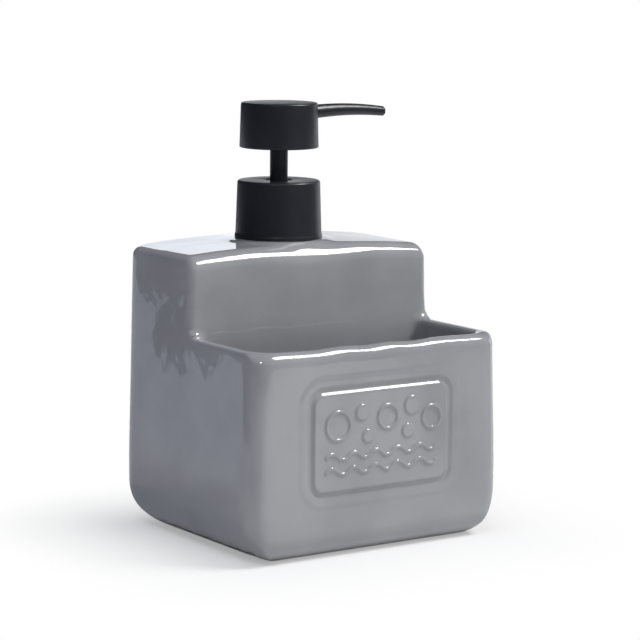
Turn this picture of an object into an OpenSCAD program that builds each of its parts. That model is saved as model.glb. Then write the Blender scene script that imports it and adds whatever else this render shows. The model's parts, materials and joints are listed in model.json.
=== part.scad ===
// Soap pump caddy: a glazed ceramic soap reservoir with an open pocket in front, and a plunger pump.
// Millimetres, +Z up. The origin is the middle of the base, with +X to the right and -Y to the front.

/* [Ceramic body] */
// Width of the body
body_w = 115.2; // [106:0.1:126]
// Depth over everything, from the front motif to the back
body_d = 95.6; // [90:0.1:106]
// Height of the pocket's rim
rim_h = 78.7; // [70:0.1:86]
// Height of the reservoir's top in its middle
top_h = 111.3; // [106:0.1:124]
// Rise of the reservoir's top from its sides to its middle
crown_rise = 3.2; // [1.8:0.1:5]
// Depth of the reservoir, from the back of the body to its front face
reservoir_d = 48; // [46:0.1:54]
// Thickness of the ceramic walls
wall_t = 5; // [4:0.1:6]
// Thickness of the ceramic floor
floor_t = 7; // [5:0.1:9]
// Radius of the long lower edges at the left and right
foot_side_r = 19; // [15:0.1:21]
// Radius of the lower edges at the front and back
foot_front_r = 10.5; // [8:0.1:10.9]
// Radius of the upright corners
corner_r = 11; // [11:0.1:13]
// Radius of the reservoir's upright edges at the front
edge_r = 9; // [6:0.1:10]
// Radius of the reservoir's shoulders
shoulder_r = 8.5; // [6.5:0.1:10]
// Radius of the reservoir's top edge at the back
back_edge_r = 5; // [4:0.1:8]
// Radius of the hollow where a side rim meets the reservoir
rim_sweep_r = 7; // [4:0.1:10]
// Width of the foot ring under the base
foot_ring_w = 5; // [3:0.1:8]
// Depth of the recess inside the foot ring
foot_recess = 1.2; // [0.5:0.1:2]

/* [Front tablet] */
// Width of the raised tablet
tablet_w = 62; // [54:0.1:70]
// Height of the raised tablet
tablet_h = 38; // [34:0.1:44]
// Height of the tablet's middle above the table
tablet_z = 43.7; // [42:0.1:48]
// Corner radius of the tablet
tablet_r = 5; // [3:0.1:8]
// Rise of the tablet above the front face
tablet_rise = 0.5; // [0.3:0.1:0.8]
// Width of the groove round the tablet
groove_w = 1.6; // [1:0.1:2.4]
// Depth of the groove round the tablet
groove_depth = 0.7; // [0.4:0.1:1.2]
// Height of the motif above the tablet
relief_h = 0.6; // [0.4:0.1:1]
// Width of the motif's lines
line_w = 1.5; // [1.2:0.1:1.8]
// Length of one wave
wave_l = 10; // [9:0.1:10.5]
// Waves in one row
wave_count = 5; // [3:1:5]
// Distance between the rows of waves
wave_gap = 5.5; // [5:0.1:6.5]

/* [Mouth and neck] */
// Distance of the pump's axis behind the body's middle
pump_y = 23.6; // [22.6:0.1:24.6]
// Radius of the flat seat round the mouth
seat_r = 18.4; // [18:0.1:19.4]
// Rise of the seat above the reservoir's top
seat_rise = 0.2; // [0.1:0.1:0.8]
// Radius of the mouth
mouth_r = 14.2; // [14:0.1:14.8]
// Radius of the neck without its thread
neck_r = 12.5; // [12.3:0.05:12.6]
// Radius of the neck's bore
neck_bore_r = 10.4; // [9.8:0.1:10.8]
// Height of the neck above its flange
neck_h = 10; // [9.5:0.1:10.5]
// Radius of the neck's flange
neck_flange_r = 14.9; // [14.7:0.05:15]
// Thickness of the neck's flange
neck_flange_t = 1.2; // [1:0.1:1.5]
// Length of the neck's barrel inside the mouth
barrel_l = 9.5; // [7:0.1:14]
// Thickness of the gasket
gasket_t = 0.9; // [0.7:0.1:1.2]

/* [Thread] */
// Rise of the thread in one turn
pitch = 4.2; // [3.8:0.05:4.3]
// Height of the thread above the wall that carries it
thread_rise = 1.15; // [1:0.05:1.2]
// Width of the thread where it leaves its wall
thread_root_w = 2.2; // [1.8:0.1:2.3]
// Width of the thread's crest
thread_crest_w = 1.1; // [0.8:0.1:1.3]
// Turns of the thread
thread_turns = 1.25; // [1:0.125:1.25]

/* [Closure] */
// Radius of the threaded cap
cap_r = 15; // [14.9:0.02:15.1]
// Thickness of the cap's top lip
cap_lip_t = 1.5; // [1.2:0.1:1.8]
// Radius of the collar at its top
collar_top_r = 16.1; // [16.1:0.1:17]
// Radius of the collar above its foot
collar_low_r = 16.8; // [16.6:0.1:17.2]
// Radius of the collar's flared foot
collar_foot_r = 17.1; // [17:0.1:17.6]
// Height of the collar's flared foot
collar_foot_h = 1.6; // [1:0.1:3]
// Height of the collar
collar_h = 22.1; // [21:0.1:26]
// Thickness of the collar's top
collar_top_t = 1.5; // [1.2:0.1:2]
// Radius of the hole in the collar's top
collar_hole_r = 5.1; // [4.9:0.1:5.8]

/* [Pump works] */
// Radius of the pump's stem
stem_r = 3.5; // [3.4:0.05:3.6]
// Radius of the stem's bore
stem_bore_r = 2.4; // [2.3:0.05:2.5]
// Radius of the pump's cylinder inside
cylinder_r = 5.9; // [5.8:0.05:6.1]
// Thickness of the cylinder's wall
cylinder_t = 1.1; // [0.9:0.1:1.3]
// Depth of the cylinder below its flange
cylinder_l = 35; // [33:0.1:38]
// Radius of the housing's flange
flange_r = 12.3; // [12:0.1:12.5]
// Thickness of the housing's flange
flange_t = 1.5; // [1.3:0.1:1.8]
// Travel of the pump head
stroke = 12; // [9:0.1:12.2]
// Length of the guide inside the cylinder
guide_l = 8.7; // [6:0.1:9.5]
// Height of the piston's seal
seal_h = 7; // [6:0.1:8]
// Thickness of the return spring's wire
wire_d = 0.9; // [0.7:0.05:0.95]
// Curls of the return spring
spring_turns = 8; // [6:1:8]
// Radius of the inlet valve's ball
inlet_ball_r = 2.4; // [2.2:0.05:2.5]
// Radius of the outlet valve's ball
outlet_ball_r = 2; // [1.9:0.05:2.1]
// Lift of the balls off their seats
ball_lift = 1; // [0.6:0.1:1.4]
// Radius of the dip tube
dip_r = 3.2; // [3:0.05:3.3]
// Wall of the dip tube
dip_t = 0.8; // [0.6:0.05:1]
// Gap between the dip tube's tip and the reservoir's floor
dip_gap = 3; // [2:0.1:8]

/* [Pump head] */
// Radius of the pump head at its top
head_top_r = 14.9; // [14.6:0.1:15.3]
// Radius of the pump head at its bottom
head_low_r = 15.4; // [15:0.1:15.8]
// Height of the pump head
head_h = 17.5; // [17:0.1:20]
// Gap between the collar and the raised head
head_gap = 12.6; // [12.5:0.1:16]
// Wall of the pump head's shell
shell_t = 1.4; // [1.2:0.1:1.6]
// Height of the spout's root above the head's bottom
spout_h = 13.1; // [12.9:0.05:13.2]
// Reach of the spout's tip from the pump's axis
spout_reach = 49.7; // [40:0.1:56]
// Radius of the spout at its root
spout_root_r = 2.8; // [2.7:0.05:2.9]
// Radius of the spout at its tip
spout_tip_r = 1.95; // [1.8:0.05:2.2]
// Radius of the spout's bore
spout_bore_r = 1.1; // [0.8:0.05:1.2]
// Height of the spout's arch above the line from root to tip
spout_arch = 0.95; // [0:0.05:2]
// Drop of the spout's tip below its root
spout_drop = 0.4; // [0:0.1:3]

/* [Hidden] */

// Sides of every true curve
$fn = 96;
// Overrun of every cut past the face that it opens
over = 1;
// Gap between faces that turn or slide on each other, along the pump's axis
face_gap = 0.1;
// Radial gap between parts that turn or slide in each other
run_gap = 0.06;
// Radial gap between parts that are pushed together for good
push_gap = 0.03;
// Radial gap between parts that must never touch
free_gap = 0.3;
// Gap between the collar's foot and the ceramic seat
foot_gap = 0.2;

// Levels up the pump's axis, each from the one below
seat_z = top_h + seat_rise;
neck_z = seat_z + neck_flange_t;
neck_top_z = neck_z + neck_h;
flange_z = neck_top_z + gasket_t;
flange_top_z = flange_z + flange_t;
cap_lip_z = flange_top_z + face_gap;
cap_top_z = cap_lip_z + cap_lip_t;
guide_z = cap_top_z + face_gap;
collar_z = seat_z + foot_gap;
collar_top_z = collar_z + collar_h;
head_z = collar_top_z + head_gap;
head_top_z = head_z + head_h;
spout_z = head_z + spout_h;

// Levels down the pump's works, each from the one above
guide_low_z = guide_z - guide_l;
seal_top_z = guide_low_z - face_gap;
seal_low_z = seal_top_z - seal_h;
core_flange_t = 1.6;
core_low_z = seal_low_z - core_flange_t;
cylinder_low_z = flange_z - cylinder_l;

// Plan and side of the body
half_w = body_w / 2;
back_y = body_d / 2;
front_y = -back_y + tablet_rise + relief_h;
reservoir_y = back_y - reservoir_d;
crown_r = (half_w * half_w + crown_rise * crown_rise) / (2 * crown_rise);

// Outline of the reservoir seen from the front, with its shoulders and crown, drawn in by a wall
module crown_outline(wall, low) {
    high_r = shoulder_r - wall / 2;
    arch_r = crown_r - wall;
    half = half_w - wall;
    crown_z = top_h - crown_r;
    high_x = half - high_r;
    high_z = crown_z + sqrt(pow(arch_r - high_r, 2) - high_x * high_x);
    meet_share = arch_r / (arch_r - high_r);
    difference() {
        intersection() {
            translate([-half, low]) square([2 * half, top_h - low]);
            translate([0, crown_z]) circle(r = arch_r);
        }
        for (side = [-1, 1])
            difference() {
                polygon([[side * high_x, high_z], [side * (half + over), high_z],
                         [side * (half + over), top_h + over],
                         [side * high_x * meet_share * meet_share,
                          crown_z + (high_z - crown_z) * meet_share * meet_share]]);
                translate([side * high_x, high_z]) circle(r = high_r);
            }
    }
}

// Rectangle from (a0, b0) to (a1, b1) with a radius at each lower and upper corner
module rounded_rect(a0, a1, b0, b1, low_r0, low_r1, high_r0, high_r1) {
    difference() {
        translate([a0, b0]) square([a1 - a0, b1 - b0]);
        corner_cut(a0, b0, 1, 1, low_r0);
        corner_cut(a1, b0, -1, 1, low_r1);
        corner_cut(a0, b1, 1, -1, high_r0);
        corner_cut(a1, b1, -1, -1, high_r1);
    }
}

module corner_cut(a, b, side_a, side_b, r) {
    if (r > 0)
        difference() {
            translate([a - (side_a > 0 ? over : r), b - (side_b > 0 ? over : r)]) square(r + over);
            translate([a + side_a * r, b + side_b * r]) circle(r = r);
        }
}

module along_y(y0, y1) {
    translate([0, y1, 0]) rotate([90, 0, 0]) linear_extrude(height = y1 - y0) children();
}

module along_x(x0, x1) {
    translate([x0, 0, 0]) rotate([90, 0, 90]) linear_extrude(height = x1 - x0) children();
}

module at_pump(z) {
    translate([0, pump_y, z]) children();
}

// Lower part of the body, up to the pocket's rim
module lower_block() {
    lip_r = wall_t / 2;
    intersection() {
        along_y(front_y, back_y)
            rounded_rect(-half_w, half_w, 0, rim_h, foot_side_r, foot_side_r, 0, 0);
        linear_extrude(height = rim_h)
            rounded_rect(-half_w, half_w, front_y, back_y, corner_r, corner_r, corner_r, corner_r);
        along_x(-half_w, half_w)
            rounded_rect(front_y, back_y, 0, rim_h, foot_front_r, foot_front_r, lip_r, 0);
    }
}

// Upper part of the reservoir behind the pocket
module reservoir_block() {
    low_z = rim_h / 2;
    intersection() {
        along_y(reservoir_y, back_y) crown_outline(0, low_z);
        translate([0, 0, low_z]) linear_extrude(height = top_h - low_z)
            rounded_rect(-half_w, half_w, reservoir_y, back_y, edge_r, edge_r, corner_r, corner_r);
        along_x(-half_w, half_w)
            rounded_rect(reservoir_y, back_y, low_z, top_h, 0, 0, shoulder_r, back_edge_r);
    }
}

// Hollow sweep of each side rim up into the reservoir, turned about the reservoir's upright edge
module rim_sweeps() {
    for (side = [-1, 1])
        intersection() {
            translate([side * (half_w - edge_r), reservoir_y + edge_r, 0]) rotate_extrude()
                difference() {
                    translate([edge_r - over, rim_h - wall_t])
                        square([rim_sweep_r + over, rim_sweep_r + wall_t]);
                    translate([edge_r + rim_sweep_r - face_gap, rim_h + rim_sweep_r])
                        circle(r = rim_sweep_r);
                }
            translate([side * (half_w - wall_t / 2) - wall_t / 2, front_y, 0])
                cube([wall_t, body_d, top_h]);
        }
}

module pocket() {
    inner_r = corner_r / 2;
    low_r = foot_front_r;
    side_r = foot_side_r - wall_t;
    intersection() {
        along_y(front_y + wall_t, reservoir_y)
            rounded_rect(-half_w + wall_t, half_w - wall_t, floor_t, top_h, side_r, side_r, 0, 0);
        translate([0, 0, floor_t]) linear_extrude(height = top_h)
            rounded_rect(-half_w + wall_t, half_w - wall_t, front_y + wall_t, reservoir_y,
                         inner_r, inner_r, inner_r, inner_r);
        along_x(-half_w, half_w)
            rounded_rect(front_y + wall_t, reservoir_y, floor_t, top_h, low_r, low_r, 0, 0);
    }
}

module reservoir_cavity() {
    inner_r = corner_r / 2;
    side_r = foot_side_r - wall_t;
    low_y = reservoir_y + wall_t;
    high_y = back_y - wall_t;
    intersection() {
        along_y(low_y, high_y)
            rounded_rect(-half_w + wall_t, half_w - wall_t, floor_t, top_h - crown_rise - wall_t,
                         side_r, side_r, inner_r, inner_r);
        translate([0, 0, floor_t]) linear_extrude(height = top_h)
            rounded_rect(-half_w + wall_t, half_w - wall_t, low_y, high_y,
                         inner_r, inner_r, inner_r, inner_r);
    }
}

// Flat seat round the mouth, flared into the top of the reservoir
module mouth_seat() {
    flare_h = seat_rise + crown_rise / 2;
    at_pump(seat_z - flare_h) cylinder(r1 = seat_r + flare_h, r2 = seat_r, h = flare_h);
}

// Space inside the foot ring under the base
module foot_hollow() {
    half_x = half_w - foot_side_r - foot_ring_w;
    low_y = front_y + foot_front_r + foot_ring_w;
    high_y = back_y - foot_front_r - foot_ring_w;
    translate([0, 0, -over]) linear_extrude(height = over + foot_recess)
        rounded_rect(-half_x, half_x, low_y, high_y, corner_r, corner_r, corner_r, corner_r);
}

// Rounded rectangle of the tablet in the XZ plane, grown by a margin
module tablet_outline(margin) {
    half_x = tablet_w / 2 + margin;
    half_z = tablet_h / 2 + margin;
    r = tablet_r + margin;
    rounded_rect(-half_x, half_x, tablet_z - half_z, tablet_z + half_z, r, r, r, r);
}

// One row of waves, as arcs that turn up and down by turns, with a bead at each join
module wave_row(z) {
    chord = wave_l / 2;
    bend = 50;
    arc_r = chord / 2 / sin(bend);
    arc_drop = arc_r * cos(bend);
    for (i = [0 : 2 * wave_count - 1]) {
        side = i % 2 == 0 ? 1 : -1;
        translate([(i - wave_count + 1 / 2) * chord, z]) mirror([0, side < 0 ? 1 : 0])
            translate([0, -arc_drop]) intersection() {
                difference() {
                    circle(r = arc_r + line_w / 2);
                    circle(r = arc_r - line_w / 2);
                }
                polygon([[0, 0], [-2 * arc_r * sin(bend), 2 * arc_r * cos(bend)],
                         [-2 * arc_r * sin(bend), 2 * arc_r], [2 * arc_r * sin(bend), 2 * arc_r],
                         [2 * arc_r * sin(bend), 2 * arc_r * cos(bend)]]);
            }
    }
    for (i = [-wave_count : wave_count])
        translate([i * chord, z]) circle(r = line_w / 2 + face_gap);
}

// Bubbles: place across and up the tablet, and radius, as shares of the tablet's height
bubble_shares = [[-0.52, 0.16, 0.16], [-0.24, 0.27, 0.085], [-0.17, 0.03, 0.07],
                 [0.07, 0.2, 0.135], [0.31, 0.04, 0.075], [0.36, 0.29, 0.1],
                 [0.6, 0.15, 0.13]];

module bubbles() {
    for (share = bubble_shares)
        translate([share[0] * tablet_h, tablet_z + share[1] * tablet_h]) {
            r = share[2] * tablet_h;
            if (r > 3 * line_w)
                difference() {
                    circle(r = r);
                    circle(r = r - line_w);
                }
            else
                circle(r = r);
        }
}

module tablet() {
    along_y(front_y - tablet_rise, front_y + over) tablet_outline(0);
    along_y(front_y - tablet_rise - relief_h, front_y + over) {
        wave_row(tablet_z - tablet_h / 4 - line_w);
        wave_row(tablet_z - tablet_h / 4 - line_w + wave_gap);
        bubbles();
    }
}

module tablet_groove() {
    along_y(front_y - over, front_y + groove_depth) difference() {
        tablet_outline(groove_w);
        tablet_outline(0);
    }
}

module ceramic_body() {
    color("#8b8d92") difference() {
        union() {
            difference() {
                union() {
                    lower_block();
                    reservoir_block();
                    rim_sweeps();
                    mouth_seat();
                }
                pocket();
                tablet_groove();
                foot_hollow();
            }
            tablet();
        }
        reservoir_cavity();
        at_pump(top_h - 3 * wall_t) cylinder(r = mouth_r, h = 4 * wall_t);
    }
}

// Solid of revolution from its outline as pairs of radius and height
module turned(outline) {
    rotate_extrude() polygon(outline);
}

// Triangles that join rings of points to each other and close both ends
function loft_faces(rings, sides) = concat(
    [for (i = [0 : rings - 2]) for (j = [0 : sides - 1])
        each [[i * sides + j, i * sides + (j + 1) % sides, (i + 1) * sides + j],
              [i * sides + (j + 1) % sides, (i + 1) * sides + (j + 1) % sides, (i + 1) * sides + j]]],
    [for (j = [1 : sides - 2]) [0, j + 1, j]],
    [for (j = [1 : sides - 2]) [(rings - 1) * sides, (rings - 1) * sides + j,
                                (rings - 1) * sides + j + 1]]);

module loft(sections) {
    polyhedron(points = [for (section = sections) each section],
               faces = loft_faces(len(sections), len(sections[0])));
}

// Points round one section of a thread: its four corners as radius and height, always wound alike
function thread_section(angle, z, wall_r, crest_r) =
    let (up = crest_r > wall_r ? 1 : -1)
    [for (corner = [[wall_r, up * thread_root_w], [wall_r, -up * thread_root_w],
                    [crest_r, -up * thread_crest_w], [crest_r, up * thread_crest_w]])
        [corner[0] * cos(angle), corner[0] * sin(angle), z + corner[1] / 2]];

thread_steps = 24;
thread_fade = 4;

// Right-hand thread on a wall, from z up, with ends that fade into the wall
module thread(wall_r, crest_r, z) {
    steps = thread_steps * thread_turns;
    sink = (crest_r > wall_r ? -1 : 1) * thread_rise / 4;
    loft([for (i = [0 : steps])
        let (rise = min(1, (i + 1 / 2) / thread_fade, (steps - i + 1 / 2) / thread_fade),
             turn = i / thread_steps)
        thread_section(360 * turn, z + pitch * turn, wall_r + sink,
                       wall_r + (crest_r - wall_r) * rise)]);
}

cap_bore_r = neck_r + thread_rise + free_gap;
male_thread_z = neck_z + thread_root_w;
female_thread_z = male_thread_z + pitch / 2;

module neck_insert() {
    color("#e6e6e4") at_pump(0) difference() {
        union() {
            translate([0, 0, seat_z]) cylinder(r = neck_flange_r, h = neck_flange_t);
            translate([0, 0, seat_z - barrel_l]) cylinder(r = mouth_r - run_gap, h = barrel_l);
            translate([0, 0, seat_z]) cylinder(r = neck_r, h = neck_top_z - seat_z);
            thread(neck_r, neck_r + thread_rise, male_thread_z);
        }
        translate([0, 0, seat_z - barrel_l - over])
            cylinder(r = neck_bore_r, h = neck_top_z - seat_z + barrel_l + 2 * over);
    }
}

module neck_gasket() {
    color("#f4f4f2") at_pump(neck_top_z) difference() {
        cylinder(r = neck_r, h = gasket_t);
        translate([0, 0, -over]) cylinder(r = neck_bore_r, h = gasket_t + 2 * over);
    }
}

housing_collar_r = cylinder_r + 2 * cylinder_t;
cap_hole_r = housing_collar_r + free_gap;
cap_z = neck_z + free_gap;

module closure_cap() {
    color("#1d1f24") at_pump(0) {
        difference() {
            translate([0, 0, cap_z]) cylinder(r = cap_r, h = cap_top_z - cap_z);
            translate([0, 0, cap_z - over]) cylinder(r = cap_bore_r, h = cap_lip_z - cap_z + over);
            translate([0, 0, cap_lip_z - over]) cylinder(r = cap_hole_r, h = cap_lip_t + 2 * over);
        }
        thread(cap_bore_r, cap_bore_r - thread_rise, female_thread_z);
    }
}

// Outline of a turned cover: foot and top radius, with a rounded edge at each
module cover_outline(low_r, high_r, h, low_edge, high_edge) {
    polygon([[0, 0], [low_r - low_edge, 0], [low_r, low_edge], [high_r, h - high_edge],
             [high_r - high_edge, h], [0, h]]);
    translate([low_r - low_edge, low_edge]) circle(r = low_edge);
    translate([high_r - high_edge, h - high_edge]) circle(r = high_edge);
}

collar_edge_r = collar_top_t / 2;
collar_shoulder_r = cap_r - 3 * free_gap;

module collar_shroud() {
    color("#191b20") at_pump(0) difference() {
        translate([0, 0, collar_z]) rotate_extrude() {
            cover_outline(collar_low_r, collar_top_r, collar_h, collar_edge_r, collar_edge_r);
            polygon([[0, 0], [collar_foot_r, 0], [collar_foot_r, collar_foot_h / 3],
                     [collar_low_r, collar_foot_h], [0, collar_foot_h]]);
        }
        translate([0, 0, collar_z - over])
            cylinder(r = cap_r + push_gap, h = cap_top_z + push_gap - collar_z + over);
        translate([0, 0, cap_top_z])
            cylinder(r = collar_shoulder_r, h = collar_top_z - collar_top_t - cap_top_z);
        translate([0, 0, collar_z]) cylinder(r = collar_hole_r, h = collar_h + over);
    }
}

// Conical seat under a ball that rests with its centre at the given height
function seat_hole_z(ball_z, ball_r, hole_r) = ball_z - (ball_r + run_gap) * sqrt(2) + hole_r;

hole_share = 0.6;
chamber_share = 1.3;
inlet_hole_r = inlet_ball_r * hole_share;
chamber_r = inlet_ball_r * chamber_share;
chamber_top_z = cylinder_low_z - cylinder_t;
inlet_ball_z = chamber_top_z - face_gap - ball_lift - inlet_ball_r;
inlet_seat_z = seat_hole_z(inlet_ball_z, inlet_ball_r, inlet_hole_r);
socket_top_z = inlet_seat_z - cylinder_t;
socket_l = 3 * dip_r;
tail_z = socket_top_z - socket_l;
tail_r = dip_r + cylinder_t;
barrel_r = cylinder_r + cylinder_t;
vent_r = cylinder_t * hole_share;

module pump_housing() {
    color("#eceae4") at_pump(0) difference() {
        union() {
            translate([0, 0, flange_z]) cylinder(r = flange_r, h = flange_t);
            translate([0, 0, flange_z]) cylinder(r = housing_collar_r, h = guide_z - flange_z);
            translate([0, 0, chamber_top_z]) cylinder(r = barrel_r, h = flange_z - chamber_top_z);
            translate([0, 0, chamber_top_z - (barrel_r - tail_r)])
                cylinder(r1 = tail_r, r2 = barrel_r, h = barrel_r - tail_r);
            translate([0, 0, tail_z]) cylinder(r = tail_r, h = chamber_top_z - tail_z);
        }
        translate([0, 0, cylinder_low_z]) cylinder(r = cylinder_r, h = guide_z - cylinder_low_z + over);
        translate([0, 0, inlet_ball_z]) cylinder(r = inlet_ball_r - run_gap, h = guide_z - inlet_ball_z);
        translate([0, 0, inlet_ball_z]) cylinder(r = chamber_r, h = chamber_top_z - inlet_ball_z);
        translate([0, 0, inlet_seat_z])
            cylinder(r1 = inlet_hole_r, r2 = chamber_r, h = chamber_r - inlet_hole_r);
        translate([0, 0, inlet_seat_z + chamber_r - inlet_hole_r])
            cylinder(r = chamber_r, h = inlet_ball_z - inlet_seat_z);
        translate([0, 0, tail_z]) cylinder(r = inlet_hole_r, h = inlet_ball_z - tail_z);
        translate([0, 0, tail_z - over]) cylinder(r = dip_r + push_gap, h = socket_l + over);
        translate([0, 0, flange_z - 3 * vent_r]) rotate([0, 90, 0])
            cylinder(r = vent_r, h = barrel_r + over);
    }
}

guide_flange_t = flange_t;
guide_flange_r = cap_hole_r + cylinder_t;

module stem_guide() {
    color("#24262c") at_pump(0) difference() {
        union() {
            translate([0, 0, guide_low_z]) cylinder(r = cylinder_r - push_gap, h = guide_l);
            translate([0, 0, guide_z]) cylinder(r = guide_flange_r, h = guide_flange_t);
            translate([0, 0, guide_z])
                cylinder(r = collar_hole_r - free_gap, h = collar_top_z - free_gap - guide_z);
        }
        translate([0, 0, guide_low_z - over])
            cylinder(r = stem_r + run_gap, h = collar_top_z - guide_low_z + 2 * over);
    }
}

dip_low_z = floor_t + dip_gap;
dip_cut = 45;

module dip_tube() {
    color("#f0efe9") at_pump(0) difference() {
        translate([0, 0, dip_low_z]) cylinder(r = dip_r, h = socket_top_z - face_gap - dip_low_z);
        translate([0, 0, dip_low_z - over]) cylinder(r = dip_r - dip_t, h = socket_top_z - dip_low_z + over);
        translate([-dip_r, 0, dip_low_z]) rotate([0, -dip_cut, 0])
            translate([0, -2 * dip_r, -4 * dip_r]) cube([4 * dip_r, 4 * dip_r, 4 * dip_r]);
    }
}

module inlet_ball() {
    color("#c9ccd1") at_pump(inlet_ball_z) sphere(r = inlet_ball_r);
}

spring_r = cylinder_r - wire_d;
spring_l = core_low_z - cylinder_low_z;
curl_rings = 8;
wire_sides = 6;

// Middle of the spring's wire after so many turns
function spring_point(turn) =
    let (rise = spring_l - wire_d - 2 * run_gap)
    [spring_r * cos(360 * turn), spring_r * sin(360 * turn),
     cylinder_low_z + wire_d / 2 + run_gap + rise * turn / spring_turns];

function wire_ring(turn) =
    [for (side = [0 : wire_sides - 1])
        let (angle = 360 * side / wire_sides,
             out = spring_r + wire_d / 2 * cos(angle))
        [out * cos(360 * turn), out * sin(360 * turn), spring_point(turn)[2] + wire_d / 2 * sin(angle)]];

spring_gap = min([for (i = [0 : curl_rings * spring_turns - 1])
    for (j = [i + curl_rings / 2 : curl_rings * spring_turns])
        norm(spring_point(i / curl_rings) - spring_point(j / curl_rings))]) - wire_d;
echo(spring_gap = spring_gap);

module return_spring() {
    color("#c4c6ca") at_pump(0)
        loft([for (i = [0 : curl_rings * spring_turns]) wire_ring(i / curl_rings)]);
}

spigot_r = stem_bore_r - run_gap;
core_flange_r = cylinder_r - 2 * free_gap;
core_bore_r = spigot_r / 2;
core_grip_l = 2 * stem_bore_r;
spring_boss_r = spring_r - wire_d;

module piston_core() {
    color("#e4e2dc") at_pump(0) difference() {
        union() {
            translate([0, 0, core_low_z]) cylinder(r = core_flange_r, h = core_flange_t);
            translate([0, 0, core_low_z - core_flange_t]) cylinder(r = spring_boss_r, h = core_flange_t);
            translate([0, 0, core_low_z]) cylinder(r = spigot_r, h = seal_top_z + core_grip_l - core_low_z);
        }
        translate([0, 0, core_low_z - core_flange_t - over])
            cylinder(r = core_bore_r, h = seal_top_z + core_grip_l - core_low_z + core_flange_t + 2 * over);
    }
}

module piston_seal() {
    lip_r = cylinder_r - run_gap;
    lip_t = cylinder_t / 2;
    lip_h = seal_h / 3;
    bore = spigot_r + push_gap;
    waist_r = (bore + lip_r) / 2 + lip_t;
    color("#f2f1ec") at_pump(seal_low_z)
        turned([[bore, 0], [waist_r - lip_t, 0], [waist_r, lip_t], [lip_r - lip_t, 0], [lip_r, 0],
                [lip_r, lip_t], [waist_r, lip_h], [waist_r, seal_h - lip_h], [lip_r, seal_h - lip_t],
                [lip_r, seal_h], [lip_r - lip_t, seal_h], [waist_r, seal_h - lip_t],
                [waist_r - lip_t, seal_h], [bore, seal_h]]);
}

stem_low_z = seal_top_z;
stem_top_z = head_z + head_h / 2;
outlet_hole_r = outlet_ball_r * hole_share;
outlet_ball_z = stem_top_z - ball_lift - outlet_ball_r;
outlet_seat_z = seat_hole_z(outlet_ball_z, outlet_ball_r, outlet_hole_r);

module pump_stem() {
    color("#1b1d22") at_pump(0) difference() {
        translate([0, 0, stem_low_z + face_gap]) cylinder(r = stem_r, h = stem_top_z - stem_low_z - face_gap);
        translate([0, 0, stem_low_z - over]) cylinder(r = stem_bore_r, h = outlet_seat_z - stem_r / 2 - stem_low_z + over);
        translate([0, 0, outlet_seat_z - stem_r]) cylinder(r = outlet_hole_r, h = 2 * stem_r);
        translate([0, 0, outlet_seat_z])
            cylinder(r1 = outlet_hole_r, r2 = stem_bore_r, h = stem_bore_r - outlet_hole_r);
        translate([0, 0, outlet_seat_z + stem_bore_r - outlet_hole_r])
            cylinder(r = stem_bore_r, h = stem_top_z - outlet_seat_z);
    }
}

module outlet_ball() {
    color("#c9ccd1") at_pump(outlet_ball_z) sphere(r = outlet_ball_r);
}

shell_top_t = head_top_z - spout_z - spout_root_r;
shell_low_in_r = head_low_r - shell_t;
shell_top_in_r = head_top_r - shell_t;
channel_r = spout_root_r - face_gap;
plug_r = channel_r - shell_t / 2;
plug_x = 2 * stem_r;
plate_z = head_z + shell_t / 2;
plate_t = shell_t;

module head_core() {
    boss_r = stem_r + shell_t;
    color("#202228") at_pump(0) difference() {
        union() {
            translate([0, 0, plate_z]) cylinder(r = shell_top_in_r, h = plate_t);
            translate([0, 0, plate_z]) cylinder(r = boss_r, h = spout_z - plate_z);
            translate([0, 0, spout_z]) rotate([0, 90, 0]) cylinder(r = channel_r, h = shell_top_in_r - free_gap);
            translate([0, 0, spout_z]) sphere(r = channel_r);
        }
        translate([0, 0, head_z]) cylinder(r = stem_r + push_gap, h = stem_top_z - head_z);
        translate([0, 0, head_z]) cylinder(r = outlet_ball_r - 2 * free_gap, h = spout_z - head_z);
        translate([0, 0, spout_z]) rotate([0, 90, 0]) cylinder(r = outlet_ball_r - 2 * free_gap, h = plug_x);
        translate([plug_x, 0, spout_z]) rotate([0, 90, 0]) cylinder(r = plug_r + push_gap, h = head_low_r);
    }
}

head_edge_r = shell_t / 2;

module head_shell() {
    color("#191b20") at_pump(0) difference() {
        translate([0, 0, head_z]) rotate_extrude()
            cover_outline(head_low_r, head_top_r, head_h, head_edge_r, head_edge_r);
        translate([0, 0, head_z - over]) cylinder(r1 = shell_low_in_r, r2 = shell_top_in_r, h = head_h - shell_top_t + over);
        translate([0, 0, spout_z]) rotate([0, 90, 0]) cylinder(r = spout_root_r + run_gap, h = head_low_r + over);
    }
}

spout_rings = 16;
nose_rings = 4;
spout_sides = 24;
spout_x = shell_top_in_r + face_gap;
nose_r = spout_tip_r / 3;

// Height of the spout's middle line, part of the way from its root to its tip
function spout_line(part) = spout_z - spout_drop * part + 4 * spout_arch * part * (1 - part);

function spout_ring(x, part, r) =
    [for (side = [0 : spout_sides - 1])
        let (angle = -360 * side / spout_sides)
        [x, r * cos(angle), spout_line(part) + r * sin(angle)]];

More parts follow.
